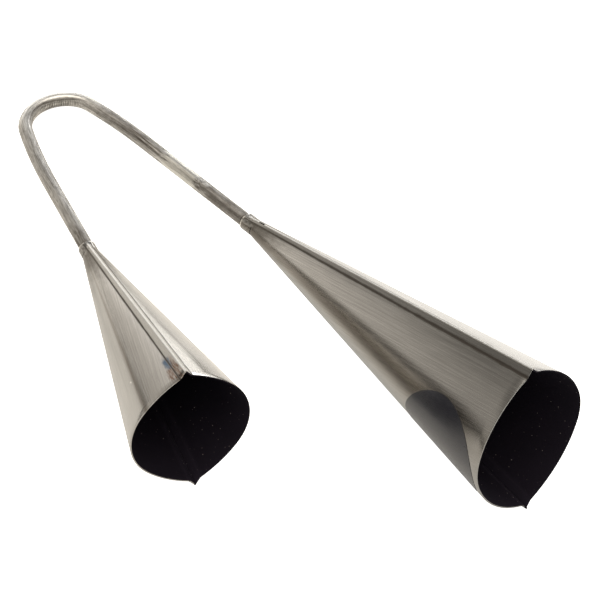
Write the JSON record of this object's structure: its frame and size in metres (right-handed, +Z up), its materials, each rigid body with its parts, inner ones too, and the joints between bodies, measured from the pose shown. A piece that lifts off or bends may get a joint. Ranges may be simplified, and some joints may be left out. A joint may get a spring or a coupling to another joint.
{
  "type": "agogo bell",
  "caption": "Hand-held pair of pointed conical steel bells, low and high, each welded from pressed sheet halves, on the ends of a bent tube handle.",
  "frame": {"origin": "on the table top, below the middle of the instrument's length and width as it lies on the bend of its handle and the lower crests of both mouths", "axes": "+Z up, +Y from the mouths towards the bend of the handle, +X from the small bell towards the large bell"},
  "size_m": [0.2042, 0.3759, 0.101],
  "materials": {
    "bell_steel": "brushed warm grey sheet steel, matte black paint inside",
    "handle_steel": "sanded and mottled steel tube",
    "weld_steel": "weld bead ground flush",
    "label_foil": "satin charcoal foil, plain"
  },
  "bodies": {
    "root": {"handle_tube": "handle_steel", "large_bell_inner_shell": "bell_steel", "large_bell_outer_shell": "bell_steel", "large_bell_top_seam_weld": "weld_steel", "large_bell_bottom_seam_weld": "weld_steel", "large_bell_neck_weld": "weld_steel", "small_bell_inner_shell": "bell_steel", "small_bell_outer_shell": "bell_steel", "small_bell_top_seam_weld": "weld_steel", "small_bell_bottom_seam_weld": "weld_steel", "small_bell_neck_weld": "weld_steel", "label": "label_foil"}
  },
  "joints": []
}
